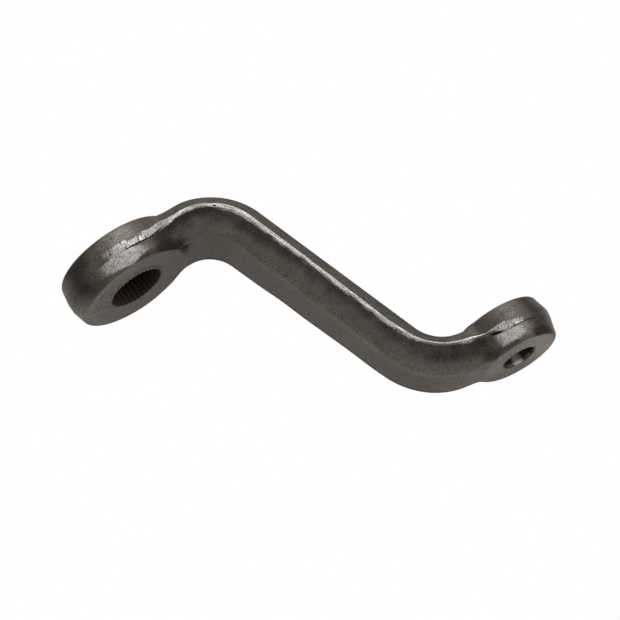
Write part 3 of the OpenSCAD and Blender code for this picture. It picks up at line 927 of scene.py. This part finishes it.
def makeForgedSkin(v):
    material, tree, shader = startMaterial("forgedSkin")
    grain = placeGrain(tree, v["speckleScale"])
    wallPoint = add(tree, "Attribute", attribute_name="wallPlace").outputs["Vector"]
    acrossWall = placeGroup(tree, grinderMarks, {"Place": wallPoint, **v["strokesAcross"]})
    alongWall = placeGroup(tree, grinderMarks, {"Place": wallPoint, **v["strokesAlong"]})
    trimMark, groundMark, crackAndShadeMark, paintedLightAndWearMark, warmMark, scarMark = (
        add(tree, "Attribute", attribute_name=name).outputs["Fac"]
        for name in ("trimmed", "groundAndGleam", "crackAndShade", "paintedLightAndWear", "warm", "scars"))

    def raggedMark(name, mark, ragged, streak):
        torn = plus(tree, centred(tree, ragged, v["ragged"]), centred(tree, streak, v[name + "Streaks"]))
        return remap(tree, times(tree, mark, plus(tree, torn, 1.0)), *v[name + "Range"])

    # noise gives bare metal a ragged, streaked edge; the streaks lie across the walls of the eyes
    onEye = remap(tree, warmMark, *v["eyeRange"])
    trimStreak = mixValue(tree, onEye, alongWall["Streak"], acrossWall["Streak"])
    trimmed = raggedMark("trim", trimMark, alongWall["Ragged"], trimStreak)
    groundAndGleam = raggedMark("groundAndGleam", groundMark, acrossWall["Ragged"], acrossWall["Streak"])
    bare = calc(tree, "MAXIMUM", trimmed, groundAndGleam)
    # cracks, and the painted deep shade that takes their colour
    crackAndShade = remap(tree, crackAndShadeMark, *v["crackAndShadeRange"])
    mottled = centred(tree, grain["Mottle"], v["mottle"])
    spotted = centred(tree, grain["Speckle"], remap(tree, warmMark, *v["calmedRange"]))
    paintedLightAndWear = plus(tree, plus(tree, paintedLightAndWearMark, mottled), spotted)

    # scale: cool or warm, darkened by painted shade and lightened by painted light and wear, speckled and
    # pitted
    warm = plus(tree, centred(tree, grain["Warmth"], v["warmth"]), warmMark, True)
    scale = mixColour(tree, warm, v["scaleCool"], v["scaleWarm"])
    scale = mixColour(tree, remap(tree, paintedLightAndWear, *v["darkAndPaintedShadeRange"]), v["darkScaleAndPaintedShade"], scale)
    scale = mixColour(tree, remap(tree, paintedLightAndWear, *v["wornAndPaintedLightRange"]), scale, v["wornAndPaintedLight"])
    speckledBy = remap(tree, paintedLightAndWearMark, *v["speckledRange"], v["speckledDark"], v["speckledWornAndLit"])
    texture = plus(tree, times(tree, spotted, speckledBy), times(tree, mottled, v["mottled"]))
    scale = mixColour(tree, 1.0, scale, plus(tree, texture, 1.0), "MULTIPLY")
    scars = remap(tree, plus(tree, times(tree, scarMark, v["scars"]), grain["Scars"]), *v["scarRange"])
    pits = times(tree, calc(tree, "MAXIMUM", grain["Pits"], scars), v["pits"])
    scale = mixColour(tree, pits, scale, v["crackAndShade"])

    # steel: streaks along the flash of the arm and across the walls of the eyes
    streakAcross = remap(tree, acrossWall["Streak"], *v["acrossRange"])
    streakAlong = remap(tree, alongWall["Streak"], *v["alongRange"])
    lengthwise = calc(tree, "SUBTRACT", trimmed, onEye, True)
    streak = mixValue(tree, lengthwise, streakAcross, streakAlong)
    streak = times(tree, streak, remap(tree, grain["Speckle"], *v["bareSpeckle"]))
    brightest = calc(tree, "MAXIMUM", trimMark, times(tree, groundMark, v["groundBright"]))
    streak = times(tree, streak, remap(tree, brightest, *v["dulledRange"]))
    steel = mixColour(tree, streak, v["bareDull"], v["bare"])

    colour = mixColour(tree, crackAndShade, mixColour(tree, bare, scale, steel), v["crackAndShade"])
    metal = remap(tree, calc(tree, "MAXIMUM", bare, crackAndShade), 0, 1, v["metallic"], 1.0)
    rough = plus(tree, times(tree, mottled, v["mottledRough"]), v["scaleRough"])
    rough = plus(tree, rough, times(tree, bare, v["bareRough"] - v["scaleRough"]))
    scratch = times(tree, times(tree, streak, bare), v["scratchHeight"])
    finishMaterial(tree, shader, v, colour, metal, rough, plus(tree, grain["Height"], scratch))
    return material


# the two holes: a serrated bore coloured near black as painted shade, lighter in its lower half as painted
# light, and a cut cone with a painted highlight down one side
boreFinish = {
    "floor": (0.006, 0.0032, 0.0024, 1), "light": (0.014, 0.008, 0.0062, 1),
    "paintedGleam": (0.036, 0.024, 0.019, 1), "rough": 0.65, "metallic": 0.0, "specular": 0.02,
}
holeFinish = {
    "floor": (0.016, 0.011, 0.009, 1), "light": (0.055, 0.045, 0.037, 1), "paintedGleam": (0.33, 0.335, 0.31, 1),
    "rough": 0.38, "metallic": 0.8, "specular": 0.3,
}
cutGrain = {
    "speckleScale": 700.0, "speckleRange": (0.35, 0.7), "mottledRough": 0.1,
    "bumpStrength": 0.25, "bumpDepth": 0.0003,
}


def makeCutSteel(name, v):
    material, tree, shader = startMaterial(name)
    grain = placeGrain(tree, v["speckleScale"])
    colour = mixColour(tree, remap(tree, grain["Speckle"], *v["speckleRange"]), v["floor"], v["light"])
    # painted light in the bore's lower half and a painted highlight in the stud hole
    paintedGleam = add(tree, "Attribute", attribute_name="groundAndGleam").outputs["Fac"]
    colour = mixColour(tree, paintedGleam, colour, v["paintedGleam"])
    rough = plus(tree, times(tree, grain["Mottle"], v["mottledRough"]), v["rough"])
    finishMaterial(tree, shader, v, colour, v["metallic"], rough, grain["Height"])
    return material


armMesh.materials.append(makeForgedSkin(skinFinish))
armMesh.materials.append(makeCutSteel("serratedBore", {**cutGrain, **boreFinish}))
armMesh.materials.append(makeCutSteel("taperedHole", {**cutGrain, **holeFinish}))
print("finishes made")


# soft studio: a white room, a wide lamp in front, two weaker ones low at the right and the left,
# and a pale floor below; lamps by name, place, size and power
studio = {
    "fill": 0.4, "white": (1, 1, 1, 1), "middle": (0.068, 0.0, -0.068),
    "floorZ": -1.1, "floorSize": 30.0, "floorLines": 41,
    "floorColour": (0.86, 0.86, 0.85, 1), "floorRough": 0.9, "floorGlow": 0.7,
    "lamps": (
        ("frontLamp", (0.75, -1.1, 0.95), 0.9, 17.0),
        ("lowLamp", (0.85, -0.6, -0.5), 0.6, 4.0),
        ("leftLamp", (-0.63, -0.35, -0.67), 0.8, 3.0),
    ),
}


def seenPlainly(tree):
    # 1 for what is seen directly, mirrored or through glass
    rays = add(tree, "LightPath").outputs
    seen = calc(tree, "MAXIMUM", rays["Is Camera Ray"], rays["Is Glossy Ray"])
    return calc(tree, "MAXIMUM", seen, rays["Is Transmission Ray"])


def mixShader(tree, share, a, b):
    return add(tree, "MixShader", {0: share, 1: a.outputs[0], 2: b.outputs[0]})


def makeWorld(v):
    # the fill lights the object; what is seen plainly is white
    world = bpy.data.worlds.new("studioWorld")
    scene.world = world
    world.use_nodes = True
    tree = world.node_tree
    tree.nodes.clear()
    fill = add(tree, "Background", {"Color": v["white"], "Strength": v["fill"]})
    white = add(tree, "Background", {"Color": v["white"], "Strength": 1.0})
    add(tree, "OutputWorld", {"Surface": mixShader(tree, seenPlainly(tree), fill, white).outputs[0]})


def makeLamps(v):
    for name, spot, size, power in v["lamps"]:
        data = bpy.data.lights.new(name, "AREA")
        data.shape, data.size, data.energy = "DISK", size, power
        lamp = bpy.data.objects.new(name, data)
        back = Vector(spot) - Vector(v["middle"])
        lamp.matrix_world = Matrix.Translation(spot) @ back.to_track_quat("Z", "Y").to_matrix().to_4x4()
        scene.collection.objects.link(lamp)


def makeFloor(v):
    # a plain sheet, partly glowing white and partly taking light and shadow; its underside is clear
    lines = np.linspace(-0.5, 0.5, v["floorLines"]) * v["floorSize"]
    x, y = np.meshgrid(lines, lines, indexing="ij")
    grid = np.stack([x, y, np.full_like(x, v["floorZ"])], -1)
    mesh = bpy.data.meshes.new("studioFloor")
    mesh.from_pydata(grid.reshape(-1, 3).tolist(), [], quads(*x.shape, False, 0).tolist())
    material, tree, shader = startMaterial("paleFloor")
    feed(tree, shader, {"Base Color": v["floorColour"], "Roughness": v["floorRough"]})
    glow = add(tree, "Emission", {"Color": v["white"], "Strength": 1.0})
    share = times(tree, seenPlainly(tree), v["floorGlow"])
    sheet = mixShader(tree, share, tree.nodes["Principled BSDF"], glow)
    behind = add(tree, "NewGeometry").outputs["Backfacing"]
    whole = mixShader(tree, behind, sheet, add(tree, "BsdfTransparent"))
    tree.links.new(whole.outputs[0], tree.nodes["Material Output"].inputs["Surface"])
    mesh.materials.append(material)
    floor = bpy.data.objects.new("studioFloor", mesh)
    scene.collection.objects.link(floor)


makeWorld(studio)
makeLamps(studio)
makeFloor(studio)
print("studio made")
